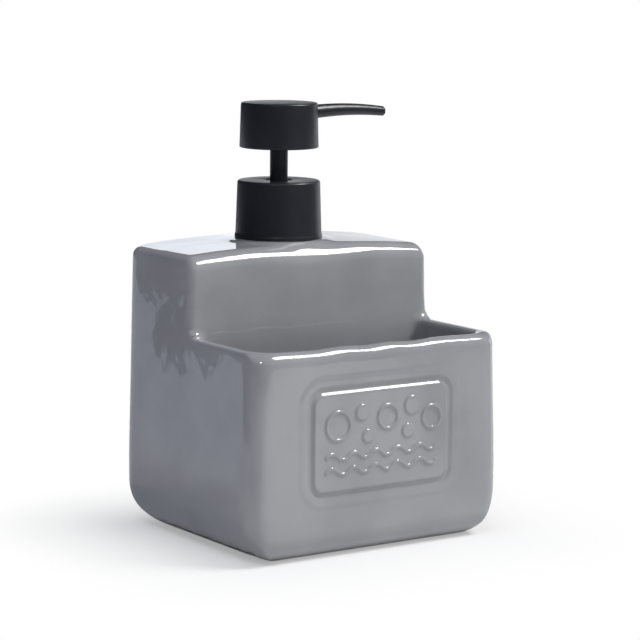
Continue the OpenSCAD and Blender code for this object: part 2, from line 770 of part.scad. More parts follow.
module spout() {
    body_l = spout_reach - nose_r - spout_x;
    color("#1d1f24") at_pump(0) difference() {
        union() {
            loft(concat(
                [for (i = [0 : spout_rings])
                    let (part = i / spout_rings)
                    spout_ring(spout_x + body_l * part, part,
                               spout_root_r + (spout_tip_r - spout_root_r) * part)],
                [for (i = [1 : nose_rings])
                    let (angle = 90 * i / nose_rings)
                    spout_ring(spout_reach - nose_r + nose_r * sin(angle), 1,
                               spout_tip_r - nose_r * (1 - cos(angle)))]));
            translate([plug_x + face_gap, 0, spout_z]) rotate([0, 90, 0])
                cylinder(r = plug_r, h = spout_x - plug_x);
        }
        loft([for (i = [-1 : spout_rings + 1])
            let (part = i / spout_rings)
            spout_ring(spout_x + (spout_reach - spout_x) * part, part, spout_bore_r)]);
        translate([plug_x, 0, spout_z]) rotate([0, 90, 0]) cylinder(r = spout_bore_r, h = spout_x - plug_x);
    }
}

ceramic_body();
neck_insert();
neck_gasket();
closure_cap();
collar_shroud();
pump_housing();
stem_guide();
dip_tube();
inlet_ball();
return_spring();
piston_core();
piston_seal();
pump_stem();
outlet_ball();
head_core();
head_shell();
spout();
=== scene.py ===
# %% [markdown]
# A soap pump caddy in grey glazed stoneware, with an open pocket in front for a sponge and a
# satin black lotion pump behind it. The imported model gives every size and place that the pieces
# share, so each piece below is made where it stays, in metres, with +Z up. The clay body and the
# pump's covers are modelled here. Its stem and its hidden works keep their solids and only get a
# finish. MM turns millimetres into metres, and a HAIR is the least length that counts.

# %% The fixed frame
import json
import math
import bmesh
import bpy
import numpy as np
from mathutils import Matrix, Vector

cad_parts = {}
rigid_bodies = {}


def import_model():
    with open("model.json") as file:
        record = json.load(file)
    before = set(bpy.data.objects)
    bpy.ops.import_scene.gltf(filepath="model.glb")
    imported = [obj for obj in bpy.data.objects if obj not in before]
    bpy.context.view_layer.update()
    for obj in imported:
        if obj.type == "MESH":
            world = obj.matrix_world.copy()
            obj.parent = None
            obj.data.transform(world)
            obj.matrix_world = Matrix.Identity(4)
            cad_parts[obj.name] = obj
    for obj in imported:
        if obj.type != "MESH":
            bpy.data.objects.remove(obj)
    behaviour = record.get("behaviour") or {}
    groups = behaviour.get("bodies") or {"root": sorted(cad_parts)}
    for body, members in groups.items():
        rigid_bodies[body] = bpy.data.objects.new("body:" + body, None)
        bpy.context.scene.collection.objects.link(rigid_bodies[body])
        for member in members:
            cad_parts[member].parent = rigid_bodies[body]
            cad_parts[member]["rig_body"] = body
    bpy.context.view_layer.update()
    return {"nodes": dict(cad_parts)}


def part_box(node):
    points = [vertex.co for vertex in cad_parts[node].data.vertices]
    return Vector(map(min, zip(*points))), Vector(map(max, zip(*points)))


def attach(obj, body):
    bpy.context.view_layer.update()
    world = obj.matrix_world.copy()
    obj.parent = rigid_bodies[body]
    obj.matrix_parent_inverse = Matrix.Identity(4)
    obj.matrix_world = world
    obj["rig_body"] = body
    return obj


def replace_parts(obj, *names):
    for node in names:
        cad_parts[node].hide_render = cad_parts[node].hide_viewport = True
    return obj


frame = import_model()
MM, HAIR = 0.001, 0.00001

# %% [markdown]
# The photograph was taken with a long lens, a little above the caddy and from its left. Its
# camera was found by fitting the straight edges of the body, so it is set down here as a place,
# three angles and a lens. A picture 640 pixels wide is seen on a sensor 36 mm wide.

# %% The camera
CAMERA_AT = Vector((-539.75, -791.60, 224.54)) * MM
CAMERA_TURN, CAMERA_DIP, CAMERA_ROLL = math.radians(-34.48), math.radians(8.48), math.radians(0.57)
LENS_MM, FURTHEST_SEEN = 141.8, 20

bpy.ops.object.select_all(action="DESELECT")
bpy.ops.object.camera_add(location=CAMERA_AT, rotation=(math.pi / 2 - CAMERA_DIP, 0, CAMERA_TURN))
camera = bpy.context.object
camera.name = "camera"
camera.rotation_euler.rotate_axis("Z", CAMERA_ROLL)
camera.data.lens = LENS_MM
camera.data.clip_end = FURTHEST_SEEN
bpy.context.scene.camera = camera
bpy.context.scene.view_settings.view_transform = "Standard"
print("camera", [round(v, 3) for v in camera.location], "lens", camera.data.lens, "mm")

# %% [markdown]
# Modelling by hand means selecting what the next operator works on. Everything is deselected
# before a primitive is added, and faces or edges are then picked by a test on their middle and
# their normal. A few helpers say that once. The first three add a piece, open it and leave it.

# %% Adding a piece and editing it
def add(operator, name, **settings):
    """Adds a primitive with nothing else selected, and names it."""
    bpy.ops.object.select_all(action="DESELECT")
    operator(**settings)
    piece = bpy.context.object
    piece.name = name
    piece.data.name = name
    bpy.ops.object.transform_apply(location=True, rotation=True, scale=True)
    return piece


def edit(piece, mode="FACE"):
    """Opens a piece in edit mode, all of it selected."""
    bpy.ops.object.select_all(action="DESELECT")
    bpy.context.view_layer.objects.active = piece
    piece.select_set(True)
    bpy.ops.object.mode_set(mode="EDIT")
    bpy.ops.mesh.select_mode(type=mode)
    bpy.ops.mesh.select_all(action="SELECT")


def leave():
    """Goes back to object mode, which writes the edits into the mesh."""
    bpy.ops.object.mode_set(mode="OBJECT")


print("adding and editing ready")

# %% [markdown]
# A click on a face becomes a test that the face has to pass, and a knife becomes a bisect through
# the whole mesh, which leaves straight loops on every side.

# %% Picking faces and cutting
X, Y, Z = 0, 1, 2


def pick_faces(test):
    """Selects the faces whose middle and normal pass a test, and returns how many there are."""
    bpy.ops.mesh.select_all(action="DESELECT")
    mesh = bmesh.from_edit_mesh(bpy.context.edit_object.data)
    found = [face for face in mesh.faces if test(face.calc_center_median(), face.normal)]
    for face in found:
        face.select_set(True)
    bmesh.update_edit_mesh(bpy.context.edit_object.data)
    return len(found)


def cut(axis, places):
    """Cuts the whole mesh at each place along an axis."""
    normal = Vector((0, 0, 0))
    normal[axis] = 1
    for place in places:
        bpy.ops.mesh.select_all(action="SELECT")
        bpy.ops.mesh.bisect(plane_co=normal * place, plane_no=normal)


print("picking and cutting ready")

# %% [markdown]
# Modifiers are applied as soon as they are set, so that what is measured is the finished mesh.
# Soft edges are shaded smooth, and a report after each piece shows what it has become.

# %% Modifiers, shading and a report
def apply(piece, kind, **settings):
    """Adds a modifier, sets it and applies it."""
    bpy.ops.object.select_all(action="DESELECT")
    bpy.context.view_layer.objects.active = piece
    piece.select_set(True)
    modifier = piece.modifiers.new(kind.title(), kind)
    for key, value in settings.items():
        setattr(modifier, key, value)
    bpy.ops.object.modifier_apply(modifier=modifier.name)


def smooth(piece, angle=180):
    """Shades a piece smooth, but for edges sharper than an angle in degrees."""
    bpy.ops.object.select_all(action="DESELECT")
    bpy.context.view_layer.objects.active = piece
    piece.select_set(True)
    if angle < 180:
        bpy.ops.object.shade_smooth_by_angle(angle=math.radians(angle))
    else:
        bpy.ops.object.shade_smooth()


def report(piece):
    """Prints what a piece has become."""
    low, high = (Vector(c) for c in (piece.bound_box[0], piece.bound_box[6]))
    size = [round(v / MM, 2) for v in high - low]
    print(f"{piece.name}: {len(piece.data.polygons)} faces, {size} mm")


print("modifiers, shading and report ready")

# %% [markdown]
# The body is slip-cast: clay sets against a plaster mould, so every edge leaves the mould with a
# radius, and the glaze rounds it a little more. The radii differ a lot, from the thin lip at the
# pocket's sides to the deep curves of the foot. The solid's box gives the outer sizes. The rest
# are the sizes that drive the shape.

# %% Sizes of the clay body
body_low, body_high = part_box("ceramic_body")
TABLET_RISE, RELIEF_H = 0.5 * MM, 0.6 * MM
SEAT_RISE, TANK_DEPTH, RIM_Z = 0.2 * MM, 48 * MM, 78.7 * MM
WALL_T, FLOOR_T = 5 * MM, 7 * MM
HALF_W = body_high.x
BACK_Y = body_high.y
FRONT_Y = body_low.y + TABLET_RISE + RELIEF_H
TANK_Y = BACK_Y - TANK_DEPTH
SEAT_Z = body_high.z
TOP_Z = SEAT_Z - SEAT_RISE
pump_axis = (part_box("pump_stem")[0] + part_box("pump_stem")[1]) / 2
print("body from", round(FRONT_Y / MM, 1), "to", round(BACK_Y / MM, 1), "mm, reservoir from",
      round(TANK_Y / MM, 1), "mm, pump's axis at", round(pump_axis.y / MM, 2), "mm")

# %% [markdown]
# A block cut from a cube can't hold so many meeting radii by bevels alone: they run into each
# other at the corners. The block is therefore modelled by hand with square edges, and the
# points of its fine grid are then drawn onto one smooth surface. That surface is a distance
# formula, which joins planes with a round edge outwards or a round hollow inwards. The result is
# zero on the surface, negative in the clay and positive in the air.

# %% Joining shapes with round edges
def round_max(a, b, r):
    """Where two shapes overlap, with a round edge of radius r."""
    return np.minimum(-r, np.maximum(a, b)) + np.hypot(np.maximum(a + r, 0), np.maximum(b + r, 0))


def round_min(a, b, r):
    """Two shapes joined, with a round hollow of radius r between them."""
    return -round_max(-a, -b, r)


def ease(low, high, value):
    """0 below low and 1 above high, with a smooth step between."""
    part = np.clip((value - low) / (high - low), 0, 1)
    return part * part * (3 - 2 * part)


def ramp(low, high, value):
    """0 below low and 1 above high, with an almost straight slope between."""
    part = np.clip((value - low) / (high - low), 0, 1)
    return part - 0.4 * np.sin(2 * np.pi * part) / (2 * np.pi)


def blend(a, b, part):
    return a + (b - a) * part


def hump(part):
    """0 at both ends of a stretch and 1 in its middle."""
    return 4 * part * (1 - part)


print("a round edge of 4 mm leaves its sharp corner", round(float(round_max(0.0, 0.0, 4.0)), 2), "mm outside")

# %% [markdown]
# The outside follows the mould. Its sides lean in above the foot, so that the casting comes out,
# and the front corners of the upper part lie a little further in. At the bottom the walls curve
# in to the foot, more at the sides than in front, and most at the corners.

# %% The outside of the mould
DRAFT, DRAFT_Z, INSET, INSET_Z = 2 * MM, 28 * MM, 0.8 * MM, RIM_Z + 8 * MM
CORNER_R, BACK_CORNER_R = 8 * MM, 10 * MM
FOOT_SIDE_R, FOOT_FRONT_R, FOOT_BACK_R, FOOT_CORNER = 17.5 * MM, 10.5 * MM, 16 * MM, 3.5 * MM


def draft(z):
    """How far each side leans in at a height."""
    return DRAFT * np.maximum(z - DRAFT_Z, 0) / (TOP_Z - DRAFT_Z)


def past_side(x, y, z):
    """How far a point lies outside the nearer side wall."""
    inset = INSET * ease(DRAFT_Z, INSET_Z, z) * ease(BACK_Y - CORNER_R, TANK_Y, y)
    return np.abs(x) - HALF_W + draft(z) + inset


def past_ends(y):
    """How far a point lies outside the front or the back, whichever is nearer."""
    return np.maximum(FRONT_Y - y, y - BACK_Y)


def sideways(side, ends):
    """0 along the front and back, 1 along the sides, and between the two at the corners."""
    return ease(-CORNER_R, CORNER_R, side - ends)


def mould(side, y, z):
    """The four walls with their upright corners, rounded in to the foot."""
    turned_side, back = sideways(side, past_ends(y)), ease(FRONT_Y, BACK_Y, y)
    foot_r = blend(blend(FOOT_FRONT_R, FOOT_BACK_R, back), FOOT_SIDE_R, turned_side)
    foot_r = foot_r + FOOT_CORNER * hump(turned_side)
    walls = round_max(side, past_ends(y), blend(CORNER_R, BACK_CORNER_R, back))
    return round_max(walls, -z, foot_r)


print("a side leans in by", round(float(draft(RIM_Z)) / MM, 2), "mm at the rim")

# %% [markdown]
# The pocket is a tray with one wall thickness all round, and its rim wavers a little, as a wiped
# edge does. The reservoir behind it has a soft shoulder over a front that leans out towards its
# foot. Its top is crowned like a pillow, sinks towards the front corners, and is flat only in the
# small round seat under the pump.

# %% Pocket, top and reservoir
POCKET_R, LIP_IN_R = 8 * MM, 1.8 * MM
RIM_WAVER, WAVER_L, WAVER_DRIFT_L = 0.25 * MM, 5 * MM, 17 * MM
CROWN_RISE, TILT, SEAT_R, SEAT_FLARE = 3.2 * MM, 0.45 * MM, 17.9 * MM, 5 * MM
FALL, FALL_Y, FALL_X, FALL_SLANT = 0.65 * MM, 37 * MM, 17 * MM, 0.83
LEAN, LEAN_TOP_Z, LEAN_LOW_Z = 0.8 * MM, RIM_Z + 12 * MM, RIM_Z - 4 * MM
SHOULDER_R, SHOULDER_SWELL, SWELL_X, SWELL_W = 6 * MM, 2 * MM, 3 * MM, 30 * MM


def tray(side, x, y, z):
    """All below the rim but the pocket's hollow."""
    wall_side, wall_front = side + WALL_T, FRONT_Y + WALL_T - y
    floor_r = blend(FOOT_FRONT_R, FOOT_SIDE_R - WALL_T, sideways(wall_side, wall_front))
    pocket = round_max(round_max(wall_side, wall_front, POCKET_R), FLOOR_T - z, floor_r)
    rim_z = RIM_Z + RIM_WAVER * np.sin(x / WAVER_L + 2 * np.sin(x / WAVER_DRIFT_L))
    return round_max(z - rim_z, -pocket, LIP_IN_R)


def top_height(x, y):
    """Height of the reservoir's top."""
    crown = TOP_Z - CROWN_RISE * (x / HALF_W) ** 2 - TILT * x / HALF_W
    fall_y = FALL_Y - FALL_SLANT * np.maximum(np.abs(x) - FALL_X, 0)
    crown = crown - FALL * (np.maximum(TANK_Y + fall_y - y, 0) / FALL_Y) ** 2
    from_pump = np.hypot(x - pump_axis.x, y - pump_axis.y)
    return blend(SEAT_Z, crown, ease(SEAT_R, SEAT_R + SEAT_FLARE, from_pump))


def tank(x, y, z):
    """All behind the reservoir's front and below its top."""
    front_y = TANK_Y - LEAN * ease(LEAN_TOP_Z, LEAN_LOW_Z, z)
    shoulder_r = SHOULDER_R + SHOULDER_SWELL * ease(SWELL_W, 0, np.abs(x - SWELL_X))
    return round_max(front_y - y, z - top_height(x, y), shoulder_r)


print("the top is", round(float(SEAT_Z - top_height(HALF_W, BACK_Y)) / MM, 2), "mm lower at its back corner")

# %% [markdown]
# The outer edge changes on its way round. It is a full lip in front, thin at the sides, fuller
# again at the corners, and tight up the reservoir's sides and at the back. Under the body, a
# shallow recess leaves a foot ring, which is all that touches the table.

# %% The outer edge and the foot ring
LIP_R, LIP_SIDE_R, LIP_CORNER, SWEEP_R = 4.3 * MM, 1.8 * MM, 2 * MM, 3.6 * MM
EDGE_R, UPRIGHT_R, BACK_EDGE_R = 4.3 * MM, 3.4 * MM, 3.4 * MM
RING_W, RECESS, RECESS_EDGE_R = 5 * MM, 1.2 * MM, 0.8 * MM


def outer_edge_r(side, x, y, z):
    """Radius of the outer edge at each point."""
    turned_side = sideways(side, past_ends(y))
    over_shoulder = z - top_height(x, y) - TANK_Y + y
    upright_r = blend(UPRIGHT_R, EDGE_R, ease(-SHOULDER_R, SHOULDER_R, over_shoulder))
    lip_r = blend(LIP_R, LIP_SIDE_R, turned_side) + LIP_CORNER * hump(turned_side)
    edge_r = blend(lip_r, upright_r, ease(RIM_Z, RIM_Z + SWEEP_R, z))
    return blend(edge_r, np.minimum(edge_r, BACK_EDGE_R), ease(0, BACK_Y - CORNER_R, y))


def foot_recess(x, y, z):
    """The recess under the body."""
    side = np.abs(x) - HALF_W + FOOT_SIDE_R + RING_W
    return round_max(round_max(side, past_ends(y) + FOOT_FRONT_R + RING_W, CORNER_R),
                     z - RECESS, RECESS_EDGE_R)


print("the recess is", round(2 * (HALF_W - FOOT_SIDE_R - RING_W) / MM, 1), "mm wide")

# %% [markdown]
# A hand-finished wall is never flat, and a glossy one shows it: reflections bend and break up. A
# slow ripple of a few hundredths of a millimetre is enough. It only goes inwards, so the body
# stays within the mould's size, and it fades out at the foot, which stands flat.

# %% The ripple in the walls
RIPPLE_H, RIPPLE_FADE = 0.025 * MM, 8 * MM


def waves(along, z, length, bend, bend_length, bend_start, band_length, band_start):
    """Waves along a wall that bend to and fro and fade in and out with the height."""
    bent = along / length + bend * np.sin(z / bend_length + bend_start)
    return np.sin(bent) * np.sin(z / band_length + band_start)


def ripple(x, y, z):
    """How far the glazed walls lie inside the mould's size."""
    front = waves(np.abs(x), z, length=9 * MM, bend=1.3, bend_length=17 * MM, bend_start=0,
                  band_length=12 * MM, band_start=0.7)
    sides = waves(y, z, length=24 * MM, bend=0.6, bend_length=24 * MM, bend_start=1,
                  band_length=25 * MM, band_start=2)
    return RIPPLE_H * (front + sides + 2)


print("deepest ripple:", round(4 * RIPPLE_H / MM, 2), "mm")

# %% [markdown]
# The whole surface joins these shapes, each joint with its own radius. A point is drawn onto it by
# steps down the formula's slope, which is measured a hair to either side.

# %% The whole surface
def clay(points):
    """Signed distance of each point from the clay's surface."""
    x, y, z = points.T
    side = past_side(x, y, z)
    inner = round_min(tray(side, x, y, z), tank(x, y, z), SWEEP_R)
    body = round_max(inner, mould(side, y, z), outer_edge_r(side, x, y, z))
    body = round_max(body, -foot_recess(x, y, z), RECESS_EDGE_R)
    return body + ripple(x, y, z) * ease(0, RIPPLE_FADE, z)


def draw_onto(points, surface, steps=12):
    """Moves points along the formula's slope until they lie on its surface."""
    for _ in range(steps):
        away = surface(points)
        slope = np.stack([(surface(points + HAIR * row) - surface(points - HAIR * row)) / (2 * HAIR)
                          for row in np.eye(3)], axis=1)
        points = points - (away / np.maximum((slope ** 2).sum(1), 0.1))[:, None] * slope
    return points


pocket_mid = np.array([[0, (FRONT_Y + TANK_Y) / 2, RIM_Z / 2]])
print("the pocket's middle lies", round(float(clay(pocket_mid)[0]) / MM, 1), "mm outside the clay")

# %% [markdown]
# The front carries a raised tablet inside a shallow groove. It is pressed into the mould, so it
# has soft edges. The words of the photographed one are left off, and bubbles over two rows of
# waves take their place. As in the mould, the relief is a height over the flat front, here a sum
# of soft steps at the distance from each line.

# %% The lines of the relief
TABLET_W, TABLET_H, TABLET_Z, TABLET_R = 62 * MM, 38 * MM, 43.7 * MM, 5 * MM
LINE_W, WAVE_L, WAVE_COUNT, WAVE_GAP = 1.5 * MM, 10 * MM, 5, 5.5 * MM
WAVE_BEND = math.radians(50)


def rounded_rect(x, z, half_x, half_z, r):
    """Distance from a rounded rectangle, negative inside."""
    dx, dz = np.abs(x) - half_x + r, np.abs(z) - half_z + r
    return np.hypot(np.maximum(dx, 0), np.maximum(dz, 0)) + np.minimum(np.maximum(dx, dz), 0) - r


def wave_line(x, z):
    """Distance from the middle line of a row of waves, made of arcs that turn up and down."""
    chord = WAVE_L / 2
    arc_r = chord / 2 / math.sin(WAVE_BEND)
    drop = arc_r * math.cos(WAVE_BEND)
    nearest = np.full_like(x, TABLET_W)
    for beside in (-1, 0, 1):
        number = np.clip(np.floor(x / chord) + beside, -WAVE_COUNT, WAVE_COUNT - 1)
        side = np.where((number + WAVE_COUNT) % 2 == 0, 1, -1)
        u, v = np.abs(x - (number + 0.5) * chord), side * z + drop
        on_arc = np.abs(np.hypot(u, v) - arc_r)
        from_end = np.hypot(u - chord / 2, v - drop)
        nearest = np.minimum(nearest, np.where(v > u / math.tan(WAVE_BEND), on_arc, from_end))
    return nearest


print(2 * WAVE_COUNT, "arcs in a row of waves,", WAVE_L / MM, "mm from crest to crest")

# %% [markdown]
# Round the tablet runs a faint wider frame. Inside it, a bubble is a ring when it is large and a
# dot when it is small. Each one is given by its place and radius, as shares of the tablet's height.

# %% The height of the relief
GROOVE_W, GROOVE_DEPTH, GROOVE_FADE = 1 * MM, 0.8 * MM, 2.6 * MM
TABLET_EDGE = 1.2 * MM
FRAME_RISE, FRAME_W, FRAME_SOFT = 0.22 * MM, 5.2 * MM, 1.2 * MM
STROKE_OUT, STROKE_IN = 0.25 * MM, 0.55 * MM
BUBBLE_SHARES = [(-0.52, 0.16, 0.16), (-0.24, 0.27, 0.085), (-0.17, 0.03, 0.07), (0.07, 0.2, 0.135),
                 (0.31, 0.04, 0.075), (0.36, 0.29, 0.1), (0.6, 0.15, 0.13)]


def plate(x, up):
    """Height of the tablet, its groove and the faint frame."""
    edge = rounded_rect(x, up, TABLET_W / 2, TABLET_H / 2, TABLET_R)
    frame_edge = rounded_rect(x, up, TABLET_W / 2 + FRAME_W, TABLET_H / 2 + FRAME_W, TABLET_R + FRAME_W)
    height = np.maximum(TABLET_RISE * ramp(GROOVE_W / 2, -TABLET_EDGE, edge),
                        FRAME_RISE * ease(FRAME_SOFT, -FRAME_SOFT, frame_edge))
    groove = ramp(-TABLET_EDGE, GROOVE_W / 2, edge) * ease(GROOVE_FADE, GROOVE_W / 2, edge)
    return height - GROOVE_DEPTH * groove


def motif(x, up):
    """Distance from the nearest stroke of the bubbles and waves, negative on it."""
    stroke = np.full_like(x, TABLET_W)
    for across, high, share in BUBBLE_SHARES:
        r = share * TABLET_H
        from_middle = np.hypot(x - across * TABLET_H, up - high * TABLET_H)
        ring = np.abs(from_middle - r + LINE_W / 2) - LINE_W / 2
        stroke = np.minimum(stroke, ring if r > 3 * LINE_W else from_middle - r)
    for row in (0, WAVE_GAP):
        row_z = up + TABLET_H / 4 + LINE_W - row
        stroke = np.minimum(stroke, wave_line(x, row_z) - LINE_W / 2)
    return stroke


def relief(x, z):
    """Height of the relief over the front face."""
    up = z - TABLET_Z
    return plate(x, up) + RELIEF_H * ease(STROKE_OUT, -STROKE_IN, motif(x, up))


print(len(BUBBLE_SHARES), "bubbles, strokes", LINE_W / MM, "mm wide")

# %% [markdown]
# Now the block itself. It could be lofted from outlines, but a cube is simpler: its back half is
# pulled up for the reservoir, and a face inside the walls is pushed down for the pocket.

# %% The block with its pocket and reservoir
PATCH_EDGE, LIP_BAND, SWEEP_BAND, SHOULDER_BAND = 7 * MM, 4 * MM, 9 * MM, 12 * MM
PATCH_X, PATCH_Z = TABLET_W / 2 + PATCH_EDGE, TABLET_H / 2 + PATCH_EDGE
inner_x, inner_y = HALF_W - WALL_T, FRONT_Y + WALL_T
block_mid = Vector((0, (FRONT_Y + BACK_Y) / 2, RIM_Z / 2))
body = add(bpy.ops.mesh.primitive_cube_add, "caddy_body", size=1, location=block_mid,
           scale=(2 * HALF_W, BACK_Y - FRONT_Y, RIM_Z))
edit(body)
cut(Y, [TANK_Y])
pick_faces(lambda middle, normal: normal.z > 0.9 and middle.y > TANK_Y)
bpy.ops.mesh.extrude_region_move(TRANSFORM_OT_translate={"value": (0, 0, TOP_Z - RIM_Z)})
cut(X, [-inner_x, inner_x])
cut(Y, [inner_y])
pick_faces(lambda middle, normal: normal.z > 0.9 and middle.z < RIM_Z + MM
           and abs(middle.x) < inner_x and inner_y < middle.y < TANK_Y)
bpy.ops.mesh.extrude_region_move(TRANSFORM_OT_translate={"value": (0, 0, FLOOR_T - RIM_Z)})
leave()
report(body)

# %% [markdown]
# Cuts give the block an even grid, so that it can bend anywhere. The grid is finer where small
# radii come, and the face behind the tablet is divided again to hold the motif. Two helpers say
# where the cuts go: at every edge that matters, and evenly between the edges.

# %% Places for the cuts
def between(start, stop, step):
    """Even places from start to stop, both left out, no further apart than a step."""
    count = max(1, math.ceil((stop - start) / step - 1e-6))
    return [start + (stop - start) * i / count for i in range(1, count)]


def places(edges, steps_mm):
    """Every edge but the outermost two, and the even places between edges."""
    return edges[1:-1] + [p for a, b, s in zip(edges, edges[1:], steps_mm) for p in between(a, b, s * MM)]


print("10 mm cut no further apart than 3 mm:", [round(p / MM, 2) for p in between(0, 10 * MM, 3 * MM)])

# %% The block's grid
half_xs = places([0, PATCH_X, inner_x, HALF_W], [2.4, 2.2, 0.7])
ys = places([FRONT_Y, inner_y, inner_y + POCKET_R, TANK_Y - POCKET_R, TANK_Y, TANK_Y + SHOULDER_R,
             BACK_Y - CORNER_R, BACK_Y], [1, 1.6, 2.6, 0.8, 0.8, 2.2, 1.3])
zs = places([0, FLOOR_T, FOOT_SIDE_R, TABLET_Z - PATCH_Z, TABLET_Z + PATCH_Z, RIM_Z - LIP_BAND, RIM_Z,
             RIM_Z + SWEEP_BAND, TOP_Z - SHOULDER_BAND, TOP_Z], [1.4, 1.6, 2, 2.4, 2, 0.7, 0.7, 2, 1])
edit(body)
cut(X, [0] + half_xs + [-x for x in half_xs if x != inner_x])
cut(Y, ys)
cut(Z, zs)
patch_count = pick_faces(lambda middle, normal: normal.y < -0.9 and middle.y < FRONT_Y + MM
                         and abs(middle.x) < PATCH_X and abs(middle.z - TABLET_Z) < PATCH_Z)
bpy.ops.mesh.subdivide(number_cuts=6)
leave()
print(patch_count, "faces divided for the motif")
report(body)

# %% [markdown]
# The grid is now drawn onto the surface. Two things are done first, so that each point starts
# near its place and the grid doesn't fold: the pocket's square corners are pulled round, and the
# upper part is narrowed by the draft. The relief is pushed out of the front face afterwards.

# %% Drawing the block onto its surface
def round_pocket(points, corner_y, way, r):
    """Makes two square corners of the pocket round, and leaves the walls' outer faces alone."""
    x, y, z = points.T
    u = np.maximum(np.abs(x) - inner_x + r, 0)
    v = np.maximum(way * (y - corner_y) + r, 0)
    reach = np.maximum(u, v)
    share = blend(reach / np.maximum(np.hypot(u, v), HAIR), 1, np.clip((reach - r) / WALL_T, 0, 1))
    share = np.where((z > FLOOR_T / 2) & (z < RIM_Z + HAIR), share, 1)
    return np.stack([x - np.sign(x) * u * (1 - share), y - way * v * (1 - share), z], axis=1)


corners = np.array([v.co for v in body.data.vertices])
corners = round_pocket(corners, inner_y, -1, POCKET_R)
corners = round_pocket(corners, TANK_Y, 1, SWEEP_R)
corners[:, 0] *= 1 - draft(corners[:, 2]) / HALF_W
drawn = draw_onto(corners, clay)
print("furthest point from the surface, mm:", round(float(np.abs(clay(drawn)).max() / MM), 4))
on_front = corners[:, 1] < FRONT_Y + 10 * HAIR
flat_front = on_front * ease(CORNER_R, CORNER_R / 2, np.abs(drawn[:, 1] - FRONT_Y))
drawn[:, 1] -= flat_front * relief(drawn[:, 0], drawn[:, 2])
body.data.vertices.foreach_set("co", drawn.ravel())
body.data.update()
smooth(body)
report(body)

# %% [markdown]
# The reservoir is hollow, as a slip-cast tank is, and opens at the top where the neck is glued
# in. The hollow is cut out with a boolean: a box with rounded edges, joined to a short cylinder
# for the mouth.

# %% The hollow reservoir
MOUTH_R, MOUTH_DEPTH = 14.2 * MM, 20 * MM
hollow_low = Vector((-inner_x, TANK_Y + WALL_T, FLOOR_T))
hollow_high = Vector((inner_x, BACK_Y - WALL_T, TOP_Z - CROWN_RISE - WALL_T))
hollow = add(bpy.ops.mesh.primitive_cube_add, "hollow", size=1, location=(hollow_low + hollow_high) / 2,
             scale=hollow_high - hollow_low)
edit(hollow)
pick_faces(lambda middle, normal: normal.z > 0.9)
bpy.ops.transform.resize(value=(1 - DRAFT / inner_x, 1, 1))
bpy.ops.mesh.select_all(action="SELECT")
bpy.ops.mesh.select_mode(type="EDGE")
bpy.ops.mesh.bevel(offset=POCKET_R, segments=6)
leave()
mouth = add(bpy.ops.mesh.primitive_cylinder_add, "mouth", vertices=96, radius=MOUTH_R, depth=MOUTH_DEPTH,
            location=(pump_axis.x, pump_axis.y, SEAT_Z))
apply(hollow, "BOOLEAN", operation="UNION", object=mouth, solver="EXACT")
apply(body, "BOOLEAN", operation="DIFFERENCE", object=hollow, solver="EXACT")
for tool in (hollow, mouth):
    bpy.data.objects.remove(tool)
smooth(body, angle=40)
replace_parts(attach(body, "base"), "ceramic_body")
report(body)

# %% [markdown]
# The pump's covers are injection-moulded in black plastic and turned about one axis, so each is
# made as on a lathe: a circle is pulled ring by ring along the profile until it closes on itself.
# Moulded edges are never sharp, so the rings at the corners are bevelled.

# %% A turned piece
def turned(name, profile, sides=128):
    """A circle about the pump's axis, pulled through (radius, height) points and closed."""
    (first_r, first_z), previous = profile[0], profile[0]
    piece = add(bpy.ops.mesh.primitive_circle_add, name, vertices=sides, radius=first_r,
                location=(pump_axis.x, pump_axis.y, first_z))
    edit(piece, "EDGE")
    for r, z in profile[1:] + profile[:1]:
        bpy.ops.mesh.extrude_region_move(TRANSFORM_OT_translate={"value": (0, 0, z - previous[1])})
        bpy.ops.transform.resize(value=(r / previous[0], r / previous[0], 1),
                                 center_override=(pump_axis.x, pump_axis.y, 0))
        previous = (r, z)
    bpy.ops.mesh.select_all(action="SELECT")
    bpy.ops.mesh.remove_doubles(threshold=HAIR)
    bpy.ops.mesh.normals_make_consistent(inside=False)
    leave()
    return piece


def soften(piece, r, z, width, segments=5):
    """Bevels the ring of edges at a radius and a height."""
    edit(piece, "EDGE")
    bpy.ops.mesh.select_all(action="DESELECT")
    mesh = bmesh.from_edit_mesh(piece.data)
    for edge in mesh.edges:
        edge.select = all(abs(math.hypot(v.co.x - pump_axis.x, v.co.y - pump_axis.y) - r) < 2 * HAIR
                          and abs(v.co.z - z) < 2 * HAIR for v in edge.verts)
    bmesh.update_edit_mesh(piece.data)
    bpy.ops.mesh.bevel(offset=width, segments=segments)
    leave()


print("lathe ready")

# %% [markdown]
# The collar hides the threaded cap. It narrows a little upwards and stands on a slightly wider
# foot. Its profile runs from the bottom of the inside, round the outside and through the hole for
# the stem, and back down the inside in a step over the cap.

